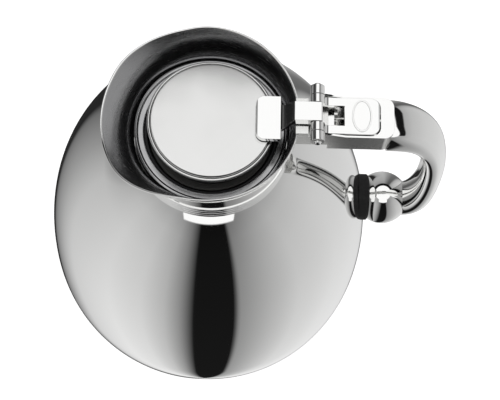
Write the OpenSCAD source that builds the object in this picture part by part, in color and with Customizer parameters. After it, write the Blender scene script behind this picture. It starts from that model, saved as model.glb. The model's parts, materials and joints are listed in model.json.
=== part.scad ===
// Insulated carafe with a lever lid. Millimetres, +Z up.
// Origin: centre of the foot, on the table. The handle points to +X, the beak to -X.

/* [Body] */
// Largest diameter of the ball-shaped shell
body_d = 170; // [140:1:206]
// Height of the widest point above the table
belly_z = 64; // [53:1:78]
// Height at which the shell meets the neck
shoulder_z = 186.7; // [154:0.1:226]
// Outer diameter of the shell's neck
neck_d = 75; // [72:0.5:80]
// Outer diameter of the base ring
foot_d = 100; // [82:1:120]
// Height of the shell's lower edge
foot_z = 6; // [5:0.5:8]
// Wall of the steel shell
shell_t = 1; // [0.8:0.1:1.2]

/* [Pouring collar] */
// Height of the ribbed neck ring
neck_ring_h = 10; // [8:0.5:12]
// Height of the rim above the neck ring
collar_h = 28.4; // [24:0.1:35]
// How far the rim falls towards the beak
beak_fall = 12; // [0:0.5:14]
// How far the rim falls towards the handle
handle_fall = 3; // [2:0.5:6]
// Radius of the rim at the handle
rim_r = 41.6; // [41:0.1:43]
// How much wider the rim is on the beak's side
rim_spread = 5.2; // [3:0.1:7]
// How far the beak reaches beyond that
beak_out = 6; // [2:0.1:9]
// Wall of the collar
collar_t = 1; // [0.8:0.1:1.2]

/* [Lid and lever] */
// Outer diameter of the lid
lid_d = 61.2; // [59:0.2:63]
// Depth of the lid's edge below the rim's top
lid_depth = 7.7; // [6:0.1:9]
// Distance of the hinge pin from the body's axis
pin_x = 49.6; // [48:0.1:56]
// Height of the hinge pin above the rim
pin_rise = 2; // [1:0.1:4]
// Diameter of the hinge pin
pin_d = 2.4; // [2:0.1:2.9]
// Width of the lever's arm
arm_w = 9.4; // [7.8:0.1:11]
// Width of the thumb plate
plate_w = 18.2; // [15.1:0.1:22]
// Reach of the thumb plate beyond the hinge pin
plate_reach = 29.4; // [24.5:0.1:35.4]

/* [Handle] */
// Depth of the handle's housing
housing_h = 14.6; // [13.6:0.1:17.6]
// Largest reach of the handle beyond the shell's widest point
handle_reach = 32.8; // [29:0.1:40]
// Height of the lower fixing above the table
ball_z = 115; // [95:0.5:138]
// Diameter of the handle's end ball
ball_d = 27.6; // [23:0.1:33.2]
// Diameter of the insulating ring
ring_d = 24.4; // [20.3:0.1:29.3]
// Diameter of the screw that holds the handle's lower end
screw_d = 5; // [4:0.1:6]

/* [Flask] */
// Gap between the shell and the flask at the belly
flask_gap = 12; // [9:0.5:18]
// Vacuum gap between the two glass walls
vacuum_gap = 5; // [3:0.5:7]
// Wall of the glass
glass_t = 1.6; // [1.2:0.1:2]
// Bore of the flask's neck
mouth_d = 38; // [31:0.5:40]

/* [Hidden] */

$fn = 120;
steel = "gainsboro";
plastic = "dimgray";
rubber = "black";
fit = 0.05;               // radial clearance of a running fit
gap = 0.3;                // clearance between pieces that pass each other

// heights, from the table up
body_r = body_d / 2;
neck_r = neck_d / 2;
foot_r = foot_d / 2;
seat_z = shoulder_z + neck_ring_h;
rim_z = seat_z + collar_h;
lid_z = rim_z - lid_depth;
pin_z = rim_z + pin_rise;

// body outline: two cubic curves that meet upright at the belly
belly_rise = 51.5;        // reach of the upper curve's tangent at the belly
shoulder_run = 41;        // reach of its tangent at the neck
shoulder_tilt = 27;       // slope of the shoulder where it meets the neck
belly_drop = 30.5;        // the same two tangents for the lower curve
foot_run = 27;
upper_curve = [[body_r, belly_z],
               [body_r, belly_z + belly_rise],
               [neck_r + shoulder_run * cos(shoulder_tilt),
                shoulder_z - shoulder_run * sin(shoulder_tilt)],
               [neck_r, shoulder_z]];
lower_curve = [[foot_r, foot_z],
               [foot_r + foot_run, foot_z],
               [body_r, belly_z - belly_drop],
               [body_r, belly_z]];
shell_outer = concat(bezier_points(lower_curve, 18),
                     [for (i = [1:30]) bezier(upper_curve, i / 30)]);

// base
base_ring_w = 5;          // radial width of the base ring
base_ring_up = 4;         // how far its collar stands up inside the shell
pad_h = 2;
pad_w = 3;
cap_z = 1.5;              // underside of the base cap
cap_t = 3;
cap_r = foot_r - base_ring_w - fit;
cushion_r = 22;
cushion_h = 11;
cushion_sink = 4.5;       // how deep the flask sits in the cushion

// throat
wall_in = neck_r - shell_t - fit;
bore_r = mouth_d / 2 + 1;
insert_floor = seat_z - 6.8;
insert_foot = insert_floor - 2;
cone_r = lid_d / 2 - 5.9; // seat cone at its foot and its head
cone_top_r = lid_d / 2 + 0.4;
cone_top = insert_floor + 11.5;
flange_r = neck_r - 0.6;
collar_in = neck_r - 0.5; // inside of the collar where it stands on the neck
ring_step = 0.9;          // one step of the seat ring

// flask
seal_h = 2.5;
lip_z = insert_foot - seal_h;
neck_len = 17;            // from the lip to the crown of the flask's ball
flask_foot = cap_z + cap_t + cushion_h - cushion_sink;
flask_b = (lip_z - neck_len - flask_foot) / 2;
flask_zc = flask_foot + flask_b;
screw_deep = 8;           // from the shell's outside to the handle screw's head
screw_head = 2;
screw_head_r = screw_d * 0.85;
head_gap = 1.3;           // between that head and the flask
// the flask keeps its gap at the belly and at the screw's head, whichever is tighter
flask_r = min(body_r - shell_t - flask_gap,
              (body_radius_at(ball_z) - screw_deep - screw_head - head_gap)
              / sqrt(1 - pow((ball_z - screw_head_r - flask_zc) / flask_b, 2)));
mouth_r = mouth_d / 2;
neck_out = mouth_r + 2 * glass_t + 1.8;
inner_cut = glass_t + vacuum_gap;

// lid
lid_r = lid_d / 2;
dome_h = 1.3;             // crown of the lid above its edge
lid_top_r = lid_r - 1.7;  // where the crown ends
lid_skirt = 5;
skirt_in = lid_r - 2.6;   // inside of the skirt
core_top = lid_z - 2.2;
seal_z = insert_floor + 8;
seal_t = 2.8;
seal_r = cone_at(seal_z + seal_t - 0.5) - 0.55;
retainer_z = insert_floor + 1.2;

// hinge and lever
knuckle_r = 3.4;
plate_y = [arm_w / 2 + gap, plate_w / 2];      // knuckle of the plate, |y| from, to
ear_y = [plate_w / 2 + gap, plate_w / 2 + 4.9];
cheek_in = plate_w / 2 + gap;
cheek_out = cheek_in + 1;
housing_x0 = pin_x + 5.5;
housing_x1 = pin_x + plate_reach + 7;
housing_top = pin_z - 2.8;
housing_bot = housing_top - housing_h;
housing_floor = 1.6;
wall_x = 3;               // front wall of the housing
end_gap = 0.6;            // between the thumb plate and the housing's end
plate_corner = 4.2;
end_r = 5;                // corners of its far end
plate_t = 2.6;
plate_top = pin_z - 1.5;
slot_x = [pin_x + knuckle_r + 0.6, pin_x + 12.8];
arm_top = pin_z + knuckle_r;
arm_bot = pin_z - 1.7;
paddle_x = [lid_r - 9.6, lid_r + 2.4];
paddle_w = 21.8;
paddle_bot = lid_z + 0.8;
paddle_top = lid_z + 3.7;
bracket_w = 18.4;
screw_z = housing_bot + 6;  // screws between bracket and housing
screw_y = 5;

// handle: a section that slims down along two cubic curves in the XZ plane
grip_w = [11.8, 8.9, 8.8];  // half width at the housing, the bend and the ball
grip_t = [8.2, 5.9, 8.3];   // half thickness there
ball_r = ball_d / 2;
ball_in = 7.9;            // from the ball's flat face to its centre
ball_gap = 1.09;          // between the ball's lower edge and the shell
ball_cut = body_radius_at(ball_z - sqrt(ball_r * ball_r - ball_in * ball_in)) + ball_gap;
ball_x = ball_cut + ball_in;
ball_end = ball_x + sqrt(ball_r * ball_r - grip_w[2] * grip_w[2]);
bend_x = body_r + handle_reach - grip_t[1];
bend_z = ball_z + 39;
grip_start = [housing_x1 - 6, housing_bot + 5.6];
// reach of the path's tangents: at its start, above and below the bend, at the ball
grip_run = 0.596 * (bend_x - grip_start[0]);
bend_up = 49;
bend_down = 27;
ball_run = 5.5;
grip_top = [grip_start,
            grip_start + [grip_run, 0],
            [bend_x, bend_z + bend_up],
            [bend_x, bend_z]];
grip_low = [[bend_x, bend_z],
            [bend_x, bend_z - bend_down],
            [ball_end + ball_run, ball_z],
            [ball_end, ball_z]];
shoulder_cut = 0.2;       // how much the grip's first ring is drawn in
grip_rings = 22;          // rings along each of the two curves
grip_sides = 32;

// spring under the thumb plate
spring_r = 3.6;
spring_wire = 0.8;
spring_turns = 5;
spring_x = pin_x + 20;
spring_z0 = housing_bot + housing_floor;
spring_z1 = plate_top - plate_t;

function bezier(p, t) =
    pow(1 - t, 3) * p[0] + 3 * pow(1 - t, 2) * t * p[1]
    + 3 * (1 - t) * t * t * p[2] + pow(t, 3) * p[3];
function bezier_points(p, n) = [for (i = [0:n]) bezier(p, i / n)];
function unit(v) = v / norm(v);
function reversed(p) = [for (i = [len(p) - 1:-1:0]) p[i]];
function direction(p, i) = unit(p[min(i + 1, len(p) - 1)] - p[max(i - 1, 0)]);
// an open outline moved to its left by d
function offset_left(p, d) =
    [for (i = [0:len(p) - 1]) p[i] + d * [-direction(p, i)[1], direction(p, i)[0]]];
// radius of the shell's outside at a height above the belly, by halving
function curve_t(p, z, lo, hi, n) =
    let (m = (lo + hi) / 2)
    n == 0 ? m
    : bezier(p, m)[1] < z ? curve_t(p, z, m, hi, n - 1) : curve_t(p, z, lo, m, n - 1);
function body_radius_at(z) = bezier(upper_curve, curve_t(upper_curve, z, 0, 1, 20))[0];
function cone_at(z) =
    cone_r + (cone_top_r - cone_r) * (z - insert_floor) / (cone_top - insert_floor);
function smooth(t) = let (c = max(0, min(1, t))) c * c * (3 - 2 * c);
function blend3(v, u) =
    u < 0.5 ? v[0] + (v[1] - v[0]) * smooth(2 * u)
    : v[1] + (v[2] - v[1]) * smooth(2 * u - 1);

module ring(r0, r1, z0, z1) {
    translate([0, 0, z0])
        difference() {
            cylinder(r = r1, h = z1 - z0);
            translate([0, 0, -1]) cylinder(r = r0, h = z1 - z0 + 2);
        }
}

// a rod along Y, on the hinge's axis
module hinge_rod(r, y0, y1) {
    translate([pin_x, y0, pin_z])
        rotate([-90, 0, 0]) cylinder(r = r, h = y1 - y0, $fn = 48);
}

// a rod along X
module rod_x(r, x0, x1, y, z) {
    translate([x0, y, z])
        rotate([0, 90, 0]) cylinder(r = r, h = x1 - x0, $fn = 48);
}

// an outline in the XZ plane, as thick as from y0 to y1
module plate_xz(y0, y1) {
    translate([0, y1, 0])
        rotate([90, 0, 0]) linear_extrude(y1 - y0) children();
}

module both_sides() {
    children();
    mirror([0, 1, 0]) children();
}

// ---- body and base ----

module outer_shell() {
    neck_wall = [[neck_r, seat_z], [neck_r - shell_t, seat_z]];
    color(steel)
        difference() {
            rotate_extrude($fn = 180)
                polygon(concat(shell_outer, neck_wall,
                               reversed(offset_left(shell_outer, shell_t))));
            rod_x(screw_d / 2 + fit, body_r / 2, body_r + 2, 0, ball_z);
        }
}

// everything inside the shell's outer face
module body_room() {
    rotate_extrude($fn = 180)
        polygon(concat(shell_outer, [[0, shoulder_z], [0, foot_z]]));
}

module base_ring() {
    in_r = foot_r - base_ring_w;
    color(steel)
        difference() {
            union() {
                ring(in_r, foot_r, pad_h / 2, foot_z);
                ring(in_r, foot_r - shell_t, foot_z - 1, foot_z + base_ring_up);
            }
            ring(foot_r - 1 - pad_w, foot_r - 1, 0, pad_h);
        }
}

module foot_pad() {
    color(rubber)
        ring(foot_r - 1 - pad_w, foot_r - 1, 0, pad_h);
}

module base_cap() {
    slot_w = 6;
    slot_l = 56;
    color(plastic)
        difference() {
            union() {
                translate([0, 0, cap_z]) cylinder(r = cap_r, h = cap_t);
                ring(cap_r - 4, cap_r, cap_z, foot_z + base_ring_up);
                ring(cushion_r, cushion_r + 2, cap_z, cap_z + cap_t + 5);
            }
            translate([-slot_l / 2, -slot_w / 2, 0]) cube([slot_l, slot_w, cap_z + 1.2]);
        }
}

// the flask's ball as a half outline, cut smaller all round by d
function flask_outline(d, top_r) =
    let (a1 = acos(top_r / (flask_r - d)))
    [for (i = [0:36])
        let (a = -90 + (90 + a1) * i / 36)
        [(flask_r - d) * cos(a), flask_zc + (flask_b - d) * sin(a)]];

module flask_cushion() {
    color(rubber)
        difference() {
            translate([0, 0, cap_z + cap_t]) cylinder(r = cushion_r - fit, h = cushion_h);
            rotate_extrude() polygon(concat(flask_outline(0, neck_out), [[0, lip_z]]));
        }
}

module flask_outer_wall() {
    lip = lip_z - glass_t;
    color("silver")
        rotate_extrude()
            polygon(concat(flask_outline(0, neck_out),
                           [[neck_out, lip], [neck_out - glass_t, lip]],
                           reversed(flask_outline(glass_t, neck_out - glass_t))));
}

module flask_inner_wall() {
    outer = mouth_r + glass_t;
    color("silver")
        rotate_extrude()
            polygon(concat(flask_outline(inner_cut, outer),
                           [[outer, lip_z - glass_t], [neck_out, lip_z - glass_t],
                            [neck_out, lip_z], [mouth_r, lip_z]],
                           reversed(flask_outline(inner_cut + glass_t, mouth_r))));
}

module flask_seal() {
    color(rubber)
        ring(bore_r, neck_out + 1, lip_z, insert_foot);
}

// ---- neck and collar ----

module throat_insert() {
    color(plastic)
        rotate_extrude()
            polygon([[bore_r, insert_foot], [wall_in, insert_foot],
                     [wall_in, seat_z], [flange_r, seat_z],
                     [flange_r, cone_top], [cone_top_r, cone_top],
                     [cone_r, insert_floor], [bore_r, insert_floor]]);
}

module seat_ring() {
    s = ring_step;
    r = flange_r;
    color(steel)
        rotate_extrude()
            polygon([[cone_top_r + 1, cone_top], [r, cone_top],
                     [r, cone_top + 2 * s], [r - s, cone_top + 2.4 * s],
                     [r - 2 * s, cone_top + 2 * s], [r - 2 * s, cone_top + s],
                     [cone_top_r + 2 * s, cone_top + s],
                     [cone_top_r + 2 * s, cone_top + 1.7 * s],
                     [cone_top_r + 1.2, cone_top + 1.5 * s]]);
}

module neck_ring() {
    beads = 4;
    z0 = shoulder_z + 0.1;
    pitch = (seat_z - z0) / beads;
    bead_r = pitch * 0.36;
    color(steel)
        rotate_extrude()
            union() {
                translate([neck_r, z0]) square([0.9, seat_z - z0]);
                for (i = [0:beads - 1])
                    translate([neck_r + bead_r + 0.02, z0 + pitch * (i + 0.5)])
                        circle(r = bead_r, $fn = 24);
            }
}

// rim of the collar in plan and in height, by the angle from the handle
function rim_radius(a) =
    rim_r + rim_spread * (1 - cos(a)) / 2
    + beak_out * smooth((abs(a > 180 ? a - 360 : a) - 104) / 48);
function rim_height(a) =
    rim_z - (cos(a) > 0 ? handle_fall : beak_fall) * cos(a) * cos(a);
// inside of the collar's wall at one angle, upwards
function collar_wall(a) =
    let (r = rim_radius(a) - collar_t, z = rim_height(a), h = z - seat_z,
         w = r - collar_in)
    bezier_points([[collar_in, seat_z], [collar_in + 0.06 * w, seat_z + 0.45 * h],
                   [collar_in + 0.5 * w, z - 0.3 * h], [r, z]], 10);
// rolled rim and outside at one angle, downwards
function collar_skin(a) =
    let (in = collar_wall(a), out = offset_left(in, -collar_t), e = direction(in, 10),
         m = (in[10] + out[10]) / 2)
    concat([for (b = [30:30:150])
               m + e * sin(b) * 0.9 + [-e[1], e[0]] * cos(b) * collar_t * 0.62],
           [for (i = [10:-1:1]) out[i]], [[collar_in + collar_t, seat_z]]);
function collar_section(a) = concat(collar_wall(a), collar_skin(a));
module pouring_collar() {
    sides = 84;
    rows = [for (i = [0:sides - 1]) collar_section(360 * i / sides)];
    n = len(rows[0]);
    pts = [for (i = [0:sides - 1]) for (p = rows[i])
        [p[0] * cos(360 * i / sides), p[0] * sin(360 * i / sides), p[1]]];
    faces = [for (i = [0:sides - 1]) for (j = [0:n - 1])
        let (k = (i + 1) % sides, l = (j + 1) % n)
        for (f = [[i * n + j, i * n + l, k * n + l], [i * n + j, k * n + l, k * n + j]]) f];
    color(steel)
        polyhedron(pts, faces, convexity = 6);
}

// room for the collar's outside and rolled rim at the handle, revolved
module collar_room() {
    out = offset_left(collar_wall(0), -collar_t - fit);
    over = out[10] + 1.4 * direction(out, 10);
    rotate_extrude()
        polygon(concat([[0, seat_z - 20], [neck_r + 2.2, seat_z - 20], [neck_r + 2.2, seat_z]],
                       out, [over, [0, over[1]]]));
}

// ---- handle ----

module collar_bracket() {
    z0 = housing_bot + 1.5;
    z1 = pin_z - knuckle_r - 3.2;   // low enough for the thumb plate to pass
    horn_h = 4.6;
    color(steel)
        difference() {
            union() {
                translate([neck_r, -bracket_w / 2, z0])
                    cube([housing_x0 - neck_r, bracket_w, z1 - z0]);
                both_sides()
                    translate([rim_r - 2, plate_y[0], z1 - 1])
                        cube([pin_x - knuckle_r - rim_r + 1.4, 4, horn_h]);
            }
            collar_room();
            both_sides()
                rod_x(1.25, housing_x0 - 7, housing_x0 + 1, screw_y, screw_z);
        }
}

module housing_screws() {
    color(plastic)
        both_sides() {
            rod_x(1.25, housing_x0 - 6, housing_x0 + wall_x, screw_y, screw_z);
            rod_x(2.2, housing_x0 + wall_x, housing_x0 + wall_x + 1.6, screw_y, screw_z);
        }
}

// a block along X whose far end has rounded corners
module rounded_block(x0, x1, half_w, r, z, h) {
    translate([x0, -half_w, z]) cube([x1 - x0 - r, 2 * half_w, h]);
    translate([x1 - 2 * r, r - half_w, z]) cube([2 * r, 2 * (half_w - r), h]);
    both_sides()
        translate([x1 - r, half_w - r, z]) cylinder(r = r, h = h, $fn = 48);
}

module housing_block() {
    rounded_block(housing_x0, housing_x1, cheek_out, end_r, housing_bot, housing_h);
}

module handle_housing() {
    color(steel)
        difference() {
            union() {
                housing_block();
                // ears that carry the pin, with a web back to the cheeks
                both_sides() {
                    hinge_rod(knuckle_r, ear_y[0], ear_y[1]);
                    plate_xz(cheek_in, cheek_out)
                        polygon([[pin_x - knuckle_r, pin_z], [pin_x - 2, pin_z - 3.4],
                                 [housing_x0 + 1, pin_z - 12], [housing_x0 + 8, pin_z - 12],
                                 [housing_x0 + 8, housing_top],
                                 [pin_x + 3.4, pin_z]]);
                }
            }
            // room for the thumb plate
            rounded_block(housing_x0 + wall_x, pin_x + plate_reach + end_gap, cheek_in,
                          plate_corner + gap, housing_bot + housing_floor, housing_h);
            // the front wall stops below the plate's knuckles
            translate([housing_x0 - 10, -cheek_in, pin_z - knuckle_r - 5.2])
                cube([20, 2 * cheek_in, 14]);
            hinge_rod(pin_d / 2 + fit, -ear_y[1] - 1, ear_y[1] + 1);
            both_sides()
                rod_x(1.25, housing_x0 - 1, housing_x0 + wall_x + 1, screw_y, screw_z);
        }
}

// rounded section of the grip, from round to nearly square as e rises
function grip_section(w, t, sides) =
    [for (i = [0:sides - 1])
        let (a = 360 * i / sides, e = 0.8)
        [w * sign(cos(a)) * pow(abs(cos(a)), e), t * sign(sin(a)) * pow(abs(sin(a)), e)]];

module handle_grip() {
    line = concat(bezier_points(grip_top, grip_rings),
                  [for (i = [1:grip_rings]) bezier(grip_low, i / grip_rings)]);
    n = len(line);
    pts = [for (i = [0:n - 1])
        let (u = i / (n - 1), d = direction(line, i),
             k = 1 - shoulder_cut * pow(1 - min(1, norm(line[i] - grip_start) / 4), 2))
        for (s = k * grip_section(blend3(grip_w, u), blend3(grip_t, u), grip_sides))
            [line[i][0] - d[1] * s[1], s[0], line[i][1] + d[0] * s[1]]];
    m = grip_sides;
    sides = [for (i = [0:n - 2]) for (j = [0:m - 1])
        let (l = (j + 1) % m)
        for (f = [[i * m + j, i * m + l, (i + 1) * m + l],
                  [i * m + j, (i + 1) * m + l, (i + 1) * m + j]]) f];
    ends = [[for (j = [m - 1:-1:0]) j], [for (j = [0:m - 1]) (n - 1) * m + j]];
    color(steel)
        difference() {
            polyhedron(pts, concat(sides, ends), convexity = 6);
            housing_block();
            // the lower end is flush with the ball
            translate([ball_end - 50, -50, ball_z - ball_r]) cube([50, 100, ball_d]);
        }
}

module handle_ball() {
    color(steel)
        difference() {
            translate([ball_x, 0, ball_z]) sphere(r = ball_r);
            translate([ball_cut - 50, -50, ball_z - 50]) cube([50, 100, 100]);
            translate([ball_end, -50, ball_z - 50]) cube([50, 100, 100]);
            rod_x(screw_d / 2, ball_cut - 1, ball_x + 4, 0, ball_z);
        }
}

module insulating_ring() {
    color(rubber)
        difference() {
            rod_x(ring_d / 2, ball_cut - 16, ball_cut, 0, ball_z);
            body_room();
            rod_x(screw_d / 2 + fit, ball_cut - 17, ball_cut + 1, 0, ball_z);
        }
}

module handle_screw() {
    x0 = body_radius_at(ball_z) - screw_deep;
    color(steel) {
        rod_x(screw_d / 2, x0, ball_x + 4, 0, ball_z);
        rod_x(screw_head_r, x0 - screw_head, x0, 0, ball_z);
    }
}

// saddle washer between the screw's head and the shell's inside
module screw_washer() {
    x0 = body_radius_at(ball_z) - screw_deep;
    color(steel)
        difference() {
            rod_x(screw_d * 1.4, x0, x0 + 9, 0, ball_z);
            difference() {
                translate([0, -50, ball_z - 50]) cube([150, 100, 100]);
                rotate_extrude($fn = 180)
                    polygon(concat(offset_left(shell_outer, shell_t),
                                   [[0, shoulder_z], [0, foot_z]]));
            }
            rod_x(screw_d / 2, x0 - 1, x0 + 10, 0, ball_z);
        }
}

// ---- hinge, lever and lid ----

module hinge_pin() {
    end = ear_y[1] + 0.8;
    color(steel)
        hinge_rod(pin_d / 2, -end, end);
}

module pin_caps() {
    color(steel)
        both_sides()
            difference() {
                translate([pin_x, ear_y[1] + 0.3, pin_z])
                    rotate([-90, 0, 0]) cylinder(r1 = 2, r2 = 1.3, h = 1.1, $fn = 48);
                hinge_rod(pin_d / 2, ear_y[1] - 1, ear_y[1] + 0.8);
            }
}

// a wire of six sides wound up between the housing's floor and the plate
module return_spring() {
    steps = 16;
    n = spring_turns * steps;
    w = spring_wire / 2;
    rise = spring_z1 - spring_z0 - 2 * w - 0.2;
    pts = [for (i = [0:n]) for (j = [0:5])
        let (a = 360 * i / steps, b = 60 * j, r = spring_r + w * cos(b))
        [spring_x + r * cos(a), r * sin(a), spring_z0 + w + 0.1 + rise * i / n + w * sin(b)]];
    sides = [for (i = [0:n - 1]) for (j = [0:5])
        let (l = (j + 1) % 6)
        for (f = [[i * 6 + j, i * 6 + l, (i + 1) * 6 + l],
                  [i * 6 + j, (i + 1) * 6 + l, (i + 1) * 6 + j]]) f];
    color(plastic)
        polyhedron(pts, concat(sides, [[5, 4, 3, 2, 1, 0], [for (j = [0:5]) n * 6 + j]]));
}

// arm over the rim, seen from the side
module arm_outline() {
    polygon([[paddle_x[0], paddle_bot], [lid_r + 2.2, paddle_bot],
             [lid_r + 8.4, arm_bot], [pin_x - 1.5, arm_bot], [pin_x - 1, pin_z - 2.2],
             [pin_x + 1.4, pin_z - 2.2], [pin_x + 2.2, pin_z - 1.4],
             [pin_x + 2.2, arm_top - 0.5], [pin_x + 1.7, arm_top],
             [lid_r + 8.2, arm_top], [paddle_x[1] + 0.6, paddle_top + 0.6],
             [paddle_x[1] - 1, paddle_top], [paddle_x[0] + 0.7, paddle_top],
             [paddle_x[0], paddle_top - 0.7]]);
}

module lid_lever() {
    neck_w = arm_w + 3.6;
    corner = 4;
    color(steel)
        difference() {
            union() {
                intersection() {
                    plate_xz(-paddle_w / 2, paddle_w / 2) arm_outline();
                    translate([0, 0, lid_z - 5])
                        linear_extrude(30)
                            union() {
                                // paddle with rounded front corners
                                translate([paddle_x[0] + corner, -paddle_w / 2])
                                    square([paddle_x[1] - paddle_x[0] - corner, paddle_w]);
                                translate([paddle_x[0], -paddle_w / 2 + corner])
                                    square([corner + 1, paddle_w - 2 * corner]);
                                for (s = [-1, 1])
                                    translate([paddle_x[0] + corner, s * (paddle_w / 2 - corner)])
                                        circle(r = corner, $fn = 48);
                                // neck, then the square arm
                                polygon([[paddle_x[1] - 1, -neck_w / 2],
                                         [lid_r + 8, -arm_w / 2], [lid_r + 8, arm_w / 2],
                                         [paddle_x[1] - 1, neck_w / 2]]);
                                translate([lid_r + 7.9, -arm_w / 2])
                                    square([pin_x + 3 - lid_r - 7.9, arm_w]);
                            }
                }
                // foot that is welded to the lid
                translate([paddle_x[0] + 1.5, -5, lid_z - 1])
                    cube([lid_top_r - paddle_x[0] - 2.5, 10, 2.5]);
            }
            rotate_extrude() polygon(concat(lid_outline(), [[0, lid_z - 6]]));
            hinge_rod(pin_d / 2, -arm_w, arm_w);
        }
}

module thumb_plate() {
    corner = plate_corner;
    x1 = pin_x + plate_reach;
    root = bezier_points([[pin_x + 2.4, pin_z + 1.4], [pin_x + 3.4, pin_z - 0.6],
                          [pin_x + 4, plate_top], [pin_x + 6, plate_top]], 8);
    color(steel)
        difference() {
            union() {
                intersection() {
                    plate_xz(-plate_w / 2, plate_w / 2)
                        polygon(concat([[pin_x, pin_z + 1]], root,
                                       [[x1 - 0.5, plate_top], [x1, plate_top - 0.5],
                                        [x1, plate_top - plate_t],
                                        [pin_x + 10, plate_top - plate_t],
                                        [pin_x + 2, pin_z - knuckle_r + 0.8],
                                        [pin_x, pin_z - 1]]));
                    translate([0, 0, pin_z - 20])
                        linear_extrude(40)
                            union() {
                                translate([pin_x, -plate_w / 2])
                                    square([plate_reach - corner, plate_w]);
                                translate([x1 - corner - 1, -plate_w / 2 + corner])
                                    square([corner + 1, plate_w - 2 * corner]);
                                for (s = [-1, 1])
                                    translate([x1 - corner, s * (plate_w / 2 - corner)])
                                        circle(r = corner, $fn = 48);
                            }
                }
                both_sides()
                    hinge_rod(knuckle_r, plate_y[0], plate_y[1]);
            }
            translate([pin_x - 6, -plate_y[0], pin_z - 20])
                cube([slot_x[1] - pin_x + 6, 2 * plate_y[0], 40]);
            hinge_rod(pin_d / 2, -plate_w, plate_w);
        }
}

// plain oval plaque with a raised edge
module badge() {
    function oval(k) = [for (a = [0:7.5:352.5]) [(4.7 - k) * cos(a), (8 - k) * sin(a)]];
    color(steel)
        translate([pin_x + plate_reach - 8.4, 0, plate_top])
            difference() {
                linear_extrude(0.6) polygon(oval(0));
                translate([0, 0, 0.3]) linear_extrude(1) polygon(oval(0.7));
            }
}

// the lid's face from its centre to the foot of its skirt
function lid_outline() =
    concat([for (i = [0:10]) [lid_top_r * i / 10, lid_z + dome_h * (1 - pow(i / 10, 2)) - 0.3]],
           [[lid_top_r + 0.1, lid_z - 0.7], [lid_r - 1.9, lid_z - 1.3],
            [lid_r - 1.9, lid_z - 2.3]],
           [for (a = [150:-30:-30]) [lid_r - 0.9 + 0.9 * cos(a), lid_z - 2.9 + 0.9 * sin(a)]],
           [[lid_r - 0.3, lid_z - lid_skirt]]);

module lid_cap() {
    color("whitesmoke")
        difference() {
            rotate_extrude()
                polygon(concat(lid_outline(),
                               [[skirt_in, lid_z - lid_skirt],
                                [skirt_in, core_top], [0, core_top]]));
            translate([0, 0, core_top - 1]) cylinder(r = 1.6, h = 1.8, $fn = 24);
        }
}

module lid_core() {
    neck = lid_r - 4;
    color(plastic)
        difference() {
            rotate_extrude()
                polygon([[0, core_top], [skirt_in - fit, core_top],
                         [skirt_in - fit, lid_z - lid_skirt], [neck + 1, seal_z + seal_t + 3],
                         [neck, seal_z + seal_t], [seal_r - 4, seal_z + seal_t],
                         [seal_r - 4, seal_z], [0, seal_z]]);
            translate([0, 0, seal_z - 1]) cylinder(r = 1.6, h = 40, $fn = 24);
        }
}

module lid_seal() {
    color(rubber)
        rotate_extrude()
            polygon([[seal_r - 3.95, seal_z], [cone_at(seal_z + 0.5) - 0.6, seal_z],
                     [seal_r, seal_z + seal_t - 0.5], [seal_r - 0.8, seal_z + seal_t],
                     [seal_r - 3.95, seal_z + seal_t]]);
}

module seal_retainer() {
    color(plastic)
        difference() {
            translate([0, 0, retainer_z])
                cylinder(r1 = cone_at(retainer_z) - 2.6, r2 = cone_at(seal_z) - 2.6,
                         h = seal_z - retainer_z);
            translate([0, 0, retainer_z - 1]) cylinder(r = 1.6, h = 40, $fn = 24);
            translate([0, 0, retainer_z - 1]) cylinder(r = 3.5, h = 3.6, $fn = 48);
        }
}

module lid_screw() {
    z0 = retainer_z + 2.6;
    color(steel) {
        translate([0, 0, z0 - 2]) cylinder(r = 3.3, h = 2, $fn = 48);
        translate([0, 0, z0]) cylinder(r = 1.6, h = core_top + 0.7 - z0, $fn = 24);
    }
}

outer_shell();
base_ring();
base_cap();
foot_pad();
flask_cushion();
flask_outer_wall();
flask_inner_wall();
flask_seal();
throat_insert();
seat_ring();
neck_ring();
pouring_collar();
collar_bracket();
handle_housing();
housing_screws();
handle_grip();
handle_ball();
insulating_ring();
handle_screw();
screw_washer();
hinge_pin();
pin_caps();
return_spring();
lid_lever();
thumb_plate();
badge();
lid_cap();
lid_core();
lid_seal();
seal_retainer();
lid_screw();
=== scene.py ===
# Looks of the insulated carafe, made round its packed frame. Metres, in the frame's own axes:
# +Z up, the handle towards +X, the pouring beak towards -X.
import json
import math

import bmesh
import bpy
from bpy.props import FloatProperty, FloatVectorProperty, IntProperty, PointerProperty
from mathutils import Matrix, Vector

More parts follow.
